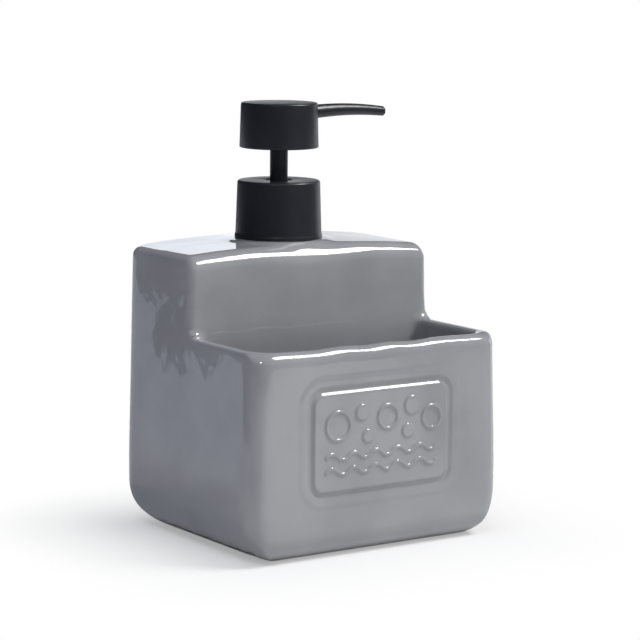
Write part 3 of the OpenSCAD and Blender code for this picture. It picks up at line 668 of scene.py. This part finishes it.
# %% The collar
collar_low, collar_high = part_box("collar_shroud")
COLLAR_FOOT_R, COLLAR_LOW_R, COLLAR_TOP_R = 17.1 * MM, 16.8 * MM, 16.1 * MM
COLLAR_HOLE_R, CAP_SPACE_R, CAP_STEP, CAP_GAP = 5.1 * MM, 15.2 * MM, 1 * MM, 0.05 * MM
BAND_H, FOOT_H, COLLAR_TOP_T = 0.8 * MM, 1.6 * MM, 2 * MM
TOP_BEVEL, HOLE_BEVEL, FOOT_BEVEL = 0.9 * MM, 0.4 * MM, 0.3 * MM
cap_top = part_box("closure_cap")[1].z + CAP_GAP
band_top, foot_top = collar_low.z + BAND_H, collar_low.z + FOOT_H
ceiling, inside_r = collar_high.z - COLLAR_TOP_T, CAP_SPACE_R - CAP_STEP
collar = turned("collar", [
    (CAP_SPACE_R, collar_low.z), (COLLAR_FOOT_R, collar_low.z), (COLLAR_FOOT_R, band_top),
    (COLLAR_LOW_R, foot_top), (COLLAR_TOP_R, collar_high.z), (COLLAR_HOLE_R, collar_high.z),
    (COLLAR_HOLE_R, ceiling), (inside_r, ceiling), (inside_r, cap_top), (CAP_SPACE_R, cap_top)])
soften(collar, COLLAR_TOP_R, collar_high.z, TOP_BEVEL)
soften(collar, COLLAR_HOLE_R, collar_high.z, HOLE_BEVEL, 3)
soften(collar, COLLAR_FOOT_R, band_top, HOLE_BEVEL, 3)
soften(collar, COLLAR_LOW_R, foot_top, FOOT_BEVEL, 3)
smooth(collar, angle=35)
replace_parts(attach(collar, frame["nodes"]["collar_shroud"]["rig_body"]), "collar_shroud")
report(collar)

# %% [markdown]
# The head is a thin shell, open below, that the hand presses. A ring can't be pulled in to the
# axis and out again, so the profile stops two hairs from it and leaves a pinhole that is far too
# fine to see. The seat of the spout is cut through the head's side with a cylinder.

# %% The pump's head
head_low, head_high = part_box("head_shell")
HEAD_LOW_R, HEAD_TOP_R, SHELL_T = 15.4 * MM, 14.9 * MM, 1.4 * MM
HEAD_TOP_BEVEL, HEAD_LOW_BEVEL = 0.8 * MM, 0.6 * MM
SPOUT_Z, SPOUT_ROOT_R, SPOUT_GAP, SEAT_CUT = 159.5 * MM, 2.8 * MM, 0.05 * MM, 12 * MM
head = turned("head", [
    (HEAD_LOW_R - SHELL_T, head_low.z), (HEAD_LOW_R, head_low.z), (HEAD_TOP_R, head_high.z),
    (2 * HAIR, head_high.z), (2 * HAIR, head_high.z - SHELL_T),
    (HEAD_TOP_R - SHELL_T, head_high.z - SHELL_T)])
soften(head, HEAD_TOP_R, head_high.z, HEAD_TOP_BEVEL)
soften(head, HEAD_LOW_R, head_low.z, HEAD_LOW_BEVEL, 4)
socket = add(bpy.ops.mesh.primitive_cylinder_add, "socket", vertices=48, radius=SPOUT_ROOT_R + SPOUT_GAP,
             depth=SEAT_CUT, location=(HEAD_LOW_R, pump_axis.y, SPOUT_Z), rotation=(0, math.pi / 2, 0))
apply(head, "BOOLEAN", operation="DIFFERENCE", object=socket, solver="EXACT")
bpy.data.objects.remove(socket)
smooth(head, angle=35)
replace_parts(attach(head, "head"), "head_shell")
report(head)

# %% [markdown]
# The spout is a thin tube that arches a little and tapers to a rounded nose. A curve with a bevel
# could make it, but not its nose and bore. So a circle is pulled along it station by station: out
# to the nose, round it by a quarter circle, and back into the bore, so that one sees into it.

# %% The spout's stations
SPOUT_TIP_R, BORE_R, NOSE_R, BORE_EDGE = 1.95 * MM, 1.1 * MM, 0.7 * MM, 0.1 * MM
SPOUT_ARCH, SPOUT_DROP, SPOUT_PARTS = 0.95 * MM, 0.4 * MM, 20
NOSE_DEGREES, BORE_STATIONS = (22.5, 45, 67.5, 90), (1, 4, 8, 12)
ROOT_X, TIP_X = HEAD_TOP_R - SHELL_T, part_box("spout")[1].x
straight = TIP_X - NOSE_R - ROOT_X


def spout_middle(x):
    """Height of the spout's middle line."""
    part = min(max((x - ROOT_X) / straight, 0), 1)
    return SPOUT_Z - SPOUT_DROP * part + SPOUT_ARCH * hump(part)


taper = SPOUT_TIP_R - SPOUT_ROOT_R
stations = [(ROOT_X + straight * i / SPOUT_PARTS, SPOUT_ROOT_R + taper * i / SPOUT_PARTS)
            for i in range(SPOUT_PARTS + 1)]
for degrees in NOSE_DEGREES:
    turn = math.radians(degrees)
    stations.append((TIP_X - NOSE_R * (1 - math.sin(turn)), SPOUT_TIP_R - NOSE_R * (1 - math.cos(turn))))
stations.append((TIP_X - BORE_EDGE, BORE_R))
stations += [(TIP_X - depth * MM, BORE_R) for depth in BORE_STATIONS]
print(len(stations), "stations over", round((TIP_X - ROOT_X) / MM, 1), "mm")

# %% [markdown]
# Each step pulls the circle to the next station and scales it about the middle line. Both open
# ends, the bore's end and the root inside the head, are then closed with a face.

# %% The spout
spout = add(bpy.ops.mesh.primitive_circle_add, "spout_tube", vertices=40, radius=SPOUT_ROOT_R,
            location=(ROOT_X, pump_axis.y, SPOUT_Z), rotation=(0, math.pi / 2, 0))
edit(spout, "EDGE")
previous = stations[0]
for x, r in stations[1:]:
    rise = spout_middle(x) - spout_middle(previous[0])
    bpy.ops.mesh.extrude_region_move(TRANSFORM_OT_translate={"value": (x - previous[0], 0, rise)})
    shrink = r / previous[1]
    bpy.ops.transform.resize(value=(1, shrink, shrink), center_override=(x, pump_axis.y, spout_middle(x)))
    previous = (x, r)
bpy.ops.mesh.edge_face_add()
bpy.ops.mesh.select_all(action="DESELECT")
mesh = bmesh.from_edit_mesh(spout.data)
for edge in mesh.edges:
    edge.select = edge.is_boundary
bmesh.update_edit_mesh(spout.data)
bpy.ops.mesh.edge_face_add()
bpy.ops.mesh.select_all(action="SELECT")
bpy.ops.mesh.normals_make_consistent(inside=False)
leave()
smooth(spout, angle=50)
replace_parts(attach(spout, "head"), "spout")
report(spout)

# %% [markdown]
# Every finish is a small node tree. Writing node links by hand is long, so a socket here behaves
# like a number: adding or multiplying two of them makes the Math node that does it. Any other
# node comes from one function, which takes its kind, its settings and what its inputs are.

# %% Sockets that do sums
class Wire:
    """An output of a node, with arithmetic that makes Math nodes."""

    def __init__(self, tree, socket):
        self.tree, self.socket = tree, socket

    def maths(self, operation, *values):
        """A Math node on this socket and others or numbers."""
        inputs = dict(enumerate((self, *values)))
        return node(self.tree, "ShaderNodeMath", {"operation": operation}, inputs)[0]

    def __add__(self, other):
        return self.maths("ADD", other)

    def __sub__(self, other):
        return self.maths("SUBTRACT", other)

    def __mul__(self, other):
        return self.maths("MULTIPLY", other)

    def __rsub__(self, other):
        return (self * -1) + other

    __radd__, __rmul__ = __add__, __mul__

    def step(self, low, high):
        """0 at low, 1 at high, smooth between."""
        return node(self.tree, "ShaderNodeMapRange", {"interpolation_type": "SMOOTHSTEP"},
                    {"Value": self, "From Min": low, "From Max": high})[0]


def node(tree, kind, settings=None, inputs=None):
    """Makes a node, sets it and links or fills its inputs. Returns its outputs that are in use."""
    made = tree.nodes.new(kind)
    for key, value in (settings or {}).items():
        setattr(made, key, value)
    for key, value in (inputs or {}).items():
        if isinstance(value, Wire):
            tree.links.new(value.socket, made.inputs[key])
        else:
            made.inputs[key].default_value = value
    return [Wire(tree, socket) for socket in made.outputs if socket.enabled]


print("sockets that do sums ready")

# %% [markdown]
# Four kinds of node are used again and again: a colour between two, soft random patches, a bump,
# and a place taken apart into its axes. Colours go through a Mix node, as sums would turn them grey.

# %% Colours, patches and bumps
def mix(tree, part, a, b):
    """A colour between two colours."""
    return node(tree, "ShaderNodeMix", {"data_type": "RGBA"}, {0: part, 6: a, 7: b})[0]


def noise(tree, place, scale, detail=2.0):
    """Soft random patches from 0 to 1, smaller with a larger scale."""
    return node(tree, "ShaderNodeTexNoise", {}, {"Vector": place, "Scale": scale, "Detail": detail})[0]


def bump(tree, height, distance, strength):
    """A normal that shows a height, in metres at full strength."""
    return node(tree, "ShaderNodeBump", {}, {"Height": height, "Distance": distance, "Strength": strength})[0]


def axes(tree, place):
    """The x, y and z of a place."""
    return node(tree, "ShaderNodeSeparateXYZ", {}, {0: place})


print("colours, patches and bumps ready")

# %% [markdown]
# A finish starts as a plain shader. Its patterns read the object's own coordinates, so they stay
# on the piece when it moves, and what they make is fed to the shader's inputs by name.

# %% A new finish
def finish(name, **constants):
    """A new material, with its tree, the object's own coordinates and its shader."""
    material = bpy.data.materials.new(name)
    material.use_nodes = True
    tree = material.node_tree
    shader = tree.nodes["Principled BSDF"]
    for key, value in constants.items():
        shader.inputs[key.replace("_", " ")].default_value = value
    place = node(tree, "ShaderNodeTexCoord")[3]
    return material, tree, place, shader


def feed(tree, shader, **wires):
    """Links sockets to the shader's inputs of the same names."""
    for key, wire in wires.items():
        tree.links.new(wire.socket, shader.inputs[key.replace("_", " ")])


print("finishes ready")

# %% [markdown]
# The glaze is a thin coat of coloured glass over grey stoneware. It pools and runs a little, so
# its tone drifts and its surface is never quite flat, which bends every reflection. The ring that
# the caddy stands on is wiped clean before firing, so it stays bare and matt.

# %% Glaze
DEEP_GREY, PALE_GREY = (0.2, 0.203, 0.215, 1), (0.228, 0.232, 0.244, 1)
SPECK, BARE_CLAY = (0.12, 0.12, 0.13, 1), (0.5, 0.46, 0.4, 1)
BARE_LOW_Z, BARE_TOP_Z = 0.7 * MM, 1.1 * MM
glaze, tree, place, shader = finish("grey_glaze", IOR=1.5)
tint = mix(tree, noise(tree, place, 35, 3).step(0.3, 0.7), DEEP_GREY, PALE_GREY)
speckle = noise(tree, place, 1500, 1).step(0.7, 0.78)
tint = mix(tree, speckle * 0.25, tint, SPECK)
bare = axes(tree, place)[2].step(BARE_TOP_Z, BARE_LOW_Z)
runs = noise(tree, place, 48, 1) + noise(tree, place, 150, 1) * 0.12
feed(tree, shader, Base_Color=mix(tree, bare, tint, BARE_CLAY),
     Roughness=bare * 0.75 + 0.02 + noise(tree, place, 60) * 0.025,
     Normal=bump(tree, runs, 0.3 * MM, 0.8))
print("glaze:", len(tree.nodes), "nodes")

# %% [markdown]
# The pump's covers are a black plastic with a fine satin texture from the mould, a little bluer
# in the light than in the shade. The parts inside are natural plastic, which is milky and matt.
# All are one recipe: a tint that drifts, a gloss that drifts, and a fine grain that is a bump.

# %% Plastics
def plastic(name, ior, tints, tint_scale, gloss, gloss_scale, grain, gloss_detail=2.0):
    """Moulded plastic. Gloss is the lowest roughness and its rise, grain a pattern and its bump."""
    made, tree, place, shader = finish(name, IOR=ior)
    grain_scale, grain_detail, grain_h, strength = grain
    feed(tree, shader, Base_Color=mix(tree, noise(tree, place, tint_scale), *tints),
         Roughness=noise(tree, place, gloss_scale, gloss_detail) * gloss[1] + gloss[0],
         Normal=bump(tree, noise(tree, place, grain_scale, grain_detail), grain_h, strength))
    return made


BLACKS = (0.0105, 0.0115, 0.0155, 1), (0.0135, 0.0145, 0.019, 1)
MILKY = (0.80, 0.79, 0.75, 1), (0.86, 0.85, 0.82, 1)
GREYISH = (0.72, 0.72, 0.70, 1), (0.76, 0.76, 0.745, 1)
CREAM = (0.78, 0.77, 0.72, 1), (0.83, 0.82, 0.78, 1)
satin = plastic("satin_black", 1.48, BLACKS, tint_scale=300, gloss=(0.32, 0.08), gloss_scale=220,
                grain=(4500, 2, 0.03 * MM, 0.35), gloss_detail=3)
natural = plastic("natural_plastic", 1.5, MILKY, tint_scale=120, gloss=(0.38, 0.12), gloss_scale=400,
                  grain=(2500, 2, 0.03 * MM, 0.4))
neck = plastic("neck_plastic", 1.5, GREYISH, tint_scale=90, gloss=(0.16, 0.08), gloss_scale=300,
               grain=(260, 2, 0.08 * MM, 0.4))
seal = plastic("seal_plastic", 1.48, CREAM, tint_scale=200, gloss=(0.46, 0.12), gloss_scale=350,
               grain=(1800, 2, 0.03 * MM, 0.4))
print("plastics:", [made.name for made in (satin, natural, neck, seal)])

# %% [markdown]
# The gasket is a foam of small closed cells, for which a cell texture serves as tint, gloss and
# bump at once. The spring is drawn wire and the balls are ground, so both are bright steel with
# fine marks, and the balls shine more.

# %% Foam and steel
foam, tree, place, shader = finish("gasket_foam", IOR=1.45)
cells = node(tree, "ShaderNodeTexVoronoi", {}, {"Vector": place, "Scale": 2600.0})[0]
feed(tree, shader, Base_Color=mix(tree, cells, (0.80, 0.80, 0.78, 1), (0.68, 0.68, 0.66, 1)),
     Roughness=cells * 0.1 + 0.85, Normal=bump(tree, cells, 0.1 * MM, 0.6))


def steel(name, scale, low, high):
    """Bare steel: bright metal with fine marks from drawing or grinding."""
    made, tree, place, shader = finish(name, Metallic=1.0)
    marks = noise(tree, place, scale, 3)
    feed(tree, shader, Base_Color=mix(tree, marks, (0.55, 0.56, 0.58, 1), (0.68, 0.69, 0.70, 1)),
         Roughness=marks * (high - low) + low, Normal=bump(tree, marks, 0.01 * MM, 0.3))
    return made


spring_steel = steel("spring_steel", 1400, 0.22, 0.42)
ball_steel = steel("ball_steel", 600, 0.1, 0.2)
print("foam and steel:", [made.name for made in (foam, spring_steel, ball_steel)])

# %% [markdown]
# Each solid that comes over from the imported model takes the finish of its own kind. The clay body
# and the covers made above take the glaze and the black.

# %% Giving every piece its finish
def wear(piece, material):
    """Gives a piece one finish all over."""
    piece.data.materials.clear()
    piece.data.materials.append(material)


wear(body, glaze)
for piece in (collar, head, spout):
    wear(piece, satin)
FINISHES = {"ceramic_body": glaze, "collar_shroud": satin, "head_shell": satin, "spout": satin,
            "stem_guide": satin, "pump_stem": satin, "head_core": satin, "neck_insert": neck,
            "neck_gasket": foam, "closure_cap": natural, "pump_housing": natural, "dip_tube": natural,
            "piston_core": natural, "piston_seal": seal, "return_spring": spring_steel,
            "inlet_ball": ball_steel, "outlet_ball": ball_steel}
for name, material in FINISHES.items():
    wear(frame["nodes"][name], material)
print(len(FINISHES), "solids finished; left over:", sorted(set(frame["nodes"]) - set(FINISHES)))

# %% [markdown]
# The caddy stands on white, as in a catalogue. The table is a pale, matt sheet that fades to pure
# white for the camera a few centimetres away from the body, so only the soft shadow close to the
# caddy is left of it. The fade is a mix with plain white light that the camera alone sees.

# %% The table as the camera sees it
TABLE_W, TABLE_Y = 2.6, 0.85
CORE_X, CORE_Y = 0.045, 0.035
GLOW_NEAR, GLOW_FAR = (-0.005, 0.045), (0.03, 0.08)
table = add(bpy.ops.mesh.primitive_plane_add, "table", size=TABLE_W, location=(0, TABLE_Y, 0))
white, tree, place, shader = finish("white_table", Roughness=1.0)
shader.inputs["Specular IOR Level"].default_value = 0


def rays(tree):
    """What kind of ray is looking, by the names that the Light Path node gives."""
    return {wire.socket.name: wire for wire in node(tree, "ShaderNodeLightPath")}


seen = rays(tree)
from_camera, mirrored = seen["Is Camera Ray"], seen["Is Glossy Ray"]
glow = node(tree, "ShaderNodeEmission", {}, {"Color": (1, 1, 1, 1), "Strength": 1.0})[0]
x, y = axes(tree, place)[:2]
off_x = (x.maths("ABSOLUTE") - CORE_X).maths("MAXIMUM", 0)
off_y = (y.maths("ABSOLUTE") - CORE_Y).maths("MAXIMUM", 0)
from_body = (off_x * off_x + off_y * off_y).maths("SQRT")
washed = from_body.step(*GLOW_NEAR) * 0.45 + from_body.step(*GLOW_FAR) * 0.22 + 0.33
print("table", [round(v, 2) for v in table.dimensions])

# %% [markdown]
# The glaze is a mirror, and most of what one sees in it is the table. So a painted reflection is laid
# on the table that only mirror rays see. It darkens the caddy's left side above a line, with a
# drip-shaped tongue of dark below it, and leaves a pale patch for the front. For the left side, each
# place on the table is first turned into the place on the wall, up and back, in which the camera sees it
# mirrored.

# %% The left side's painted reflection
WALL_X, WALL_UP, WALL_BACK = 0.057, -0.267, 1.48
# Where the painted dark reflection lies on the left wall: above two heights, in a drip-shaped tongue, and
# short of the back edge.
TOP_DARK, TANK_DARK = (0.1205, 0.1225), (0.0835, 0.0855)
REFLECTION_DRIP_Y, REFLECTION_DRIP_UP, REFLECTION_DRIP_SLANT = (0.0065, 0.0095), (0.0645, 0.066), 0.526
BACK_EDGE, BACK_SLANT = (0.132, 0.136), 1.03
off_wall = x + WALL_X
on_wall_z, on_wall_y = off_wall * WALL_UP, y + off_wall * WALL_BACK
# The painted dark reflection on the left side, with its drip-shaped tongue.
reflection_drip = on_wall_y.step(*REFLECTION_DRIP_Y) * (on_wall_z - on_wall_y * REFLECTION_DRIP_SLANT).step(*REFLECTION_DRIP_UP)
before_back = 1 - (on_wall_y + on_wall_z * BACK_SLANT).step(*BACK_EDGE)
painted_side_reflection = before_back * on_wall_z.step(*TANK_DARK).maths("MAXIMUM", reflection_drip)
painted_side_reflection = on_wall_z.step(*TOP_DARK).maths("MAXIMUM", painted_side_reflection)
print("left side:", len(tree.nodes), "nodes so far")

# %% [markdown]
# In front of the caddy the painted reflection turns the table dark in two steps, first a little and
# then far out fully, which paints the front face's reflected tone. A pale patch, left of a slanting line,
# stays pale.

# %% The front's painted reflection
FAR_END, NEAR_END, FRONT_DARK = (-0.45, -0.41), (-0.12, -0.06), 0.7
PALE_PATCH_X, PALE_PATCH_ALONG, PALE_PATCH_TURN = (-0.13, 0.0), (-0.002, 0.012), (0.83, 0.56)
# A pale patch in the painted reflection, mirrored in the front face.
along = x * PALE_PATCH_TURN[0] + y * PALE_PATCH_TURN[1]
pale_reflection_patch = x.step(*PALE_PATCH_X) * (1 - along.step(*PALE_PATCH_ALONG))
painted_front_reflection = ((1 - y.step(*NEAR_END)) * FRONT_DARK).maths("MAXIMUM", 1 - y.step(*FAR_END))
# Where the glaze mirrors the painted dark.
painted_dark_reflection = painted_side_reflection.maths("MAXIMUM", (1 - pale_reflection_patch) * painted_front_reflection)
print("front:", len(tree.nodes), "nodes so far")

# %% [markdown]
# The table's colour differs by who looks. It is pale where it only throws light back at the object,
# a little greyer to the camera, and plain or cool in the glaze, where the cool part is a painted cool
# sheen on the caddy's left side and the painted dark reflection lies over it.

# %% The table's finish
COOL_X = (-0.25, -0.1)
# The last grey is the painted dark reflection, seen only in the glaze.
LIT, TO_CAMERA, PAINTED_REFLECTION_GREY = (0.77, 0.77, 0.77, 1), (0.64, 0.64, 0.645, 1), (0.07, 0.07, 0.078, 1)
COOL_MIRRORED, PLAIN_MIRRORED = (0.68, 0.71, 0.84, 1), (0.72, 0.72, 0.725, 1)
tone = mix(tree, from_camera, LIT, TO_CAMERA)
# In the glaze the table is cool on the left: a painted cool sheen on the caddy's left side.
tone = mix(tree, mirrored, tone, mix(tree, x.step(*COOL_X), COOL_MIRRORED, PLAIN_MIRRORED))
# The painted dark reflection, for mirror rays only.
feed(tree, shader, Base_Color=mix(tree, mirrored * painted_dark_reflection, tone, PAINTED_REFLECTION_GREY))
sheet_light = Wire(tree, shader.outputs[0])
faded = node(tree, "ShaderNodeMixShader", {}, {0: from_camera * washed, 1: sheet_light, 2: glow})[0]
tree.links.new(faded.socket, tree.nodes["Material Output"].inputs["Surface"])
wear(table, white)
print("table's finish:", len(tree.nodes), "nodes")

# %% [markdown]
# A glossy piece in an all-white world looks flat. So a dark shell stands far round the set, which
# only mirror rays see, and a gap in it behind on the right lets the white air shine in. Where the
# shell is mirrored, the glaze shows its own grey, and where the gap is, it shows white.

# %% The dark room
ROOM_R, GAP_TURN, GAP_RISE = 3.2, (95, 160), (-0.2, 0.3)
room = add(bpy.ops.mesh.primitive_uv_sphere_add, "dark_room", segments=72, ring_count=36, radius=ROOM_R)
edit(room)
pick_faces(lambda middle, normal: GAP_TURN[0] < math.degrees(math.atan2(middle.x, -middle.y)) < GAP_TURN[1]
           and GAP_RISE[0] < middle.z / middle.length < GAP_RISE[1])
bpy.ops.mesh.delete(type="FACE")
leave()
dark, tree, place, shader = finish("dark_room", Roughness=1.0)
shader.inputs["Specular IOR Level"].default_value = 0
DARKEST, DARK = (0.03, 0.03, 0.035, 1), (0.06, 0.06, 0.066, 1)
feed(tree, shader, Base_Color=mix(tree, noise(tree, place, 0.5), DARKEST, DARK))
wear(room, dark)
room.visible_camera = room.visible_diffuse = room.visible_shadow = room.visible_transmission = False
print("dark room:", len(room.data.polygons), "faces")

# %% [markdown]
# The air is plain white to the camera and in mirror and glass, and gives only a faint cool light
# otherwise, so the colours stay as written.

# %% White air
world = bpy.data.worlds.new("white_air")
bpy.context.scene.world = world
world.use_nodes = True
tree = world.node_tree
tree.nodes.clear()
seen = rays(tree)
plain = node(tree, "ShaderNodeBackground", {}, {"Color": (0.8, 0.85, 1.0, 1), "Strength": 0.22})[0]
cool = mix(tree, seen["Is Camera Ray"], (0.93, 0.95, 1.0, 1), (1, 1, 1, 1))
bright = node(tree, "ShaderNodeBackground", {}, {"Color": cool, "Strength": 1.0})[0]
shown = seen["Is Camera Ray"].maths("MAXIMUM", seen["Is Glossy Ray"])
shown = shown.maths("MAXIMUM", seen["Is Transmission Ray"])
air = node(tree, "ShaderNodeMixShader", {}, {0: shown, 1: plain, 2: bright})[0]
end = tree.nodes.new("ShaderNodeOutputWorld")
tree.links.new(air.socket, end.inputs["Surface"])
print("air:", len(tree.nodes), "nodes")

# %% [markdown]
# Six soft square lamps make the light. The key, high on the right, draws the long bright lines on
# the edges. The kicker is small and only puts bright points on the left-hand edges, and the back
# lamp adds a faint sheen. The front lamp evens the face, the fill cools the left side, and the
# rear lamp keeps the back from going dark. These three are hidden from the glaze.

# %% Lamps
AIM = Vector((0, 0, 0.07))
WARM = (1, 0.985, 0.96)


def lamp(name, turn, rise, distance, size, watts, colour=(1, 1, 1)):
    """A soft square lamp aimed at the body, at degrees right of the front and up from the table."""
    turn, rise = math.radians(turn), math.radians(rise)
    away = Vector((math.sin(turn) * math.cos(rise), -math.cos(turn) * math.cos(rise), math.sin(rise)))
    bpy.ops.object.select_all(action="DESELECT")
    bpy.ops.object.light_add(type="AREA", location=AIM + away * distance,
                             rotation=away.to_track_quat("Z", "Y").to_euler())
    made = bpy.context.object
    made.name = name
    made.data.shape, made.data.size, made.data.energy, made.data.color = "SQUARE", size, watts, colour
    return made


lamp("key", 54, 50, 2.0, 0.76, 44, WARM)
lamp("front", 10, 6, 2.4, 1.2, 21, WARM).visible_glossy = False
lamp("kicker", -40, 41, 2.0, 0.1, 4)
lamp("fill", -62, 58, 2.2, 1.2, 14, (0.84, 0.91, 1)).visible_glossy = False
lamp("rear", -165, 12, 2.4, 1.2, 14, (0.9, 0.94, 1)).visible_glossy = False
lamp("back", 152, 8.5, 2.6, 0.5, 0.55, (0.85, 0.9, 1))
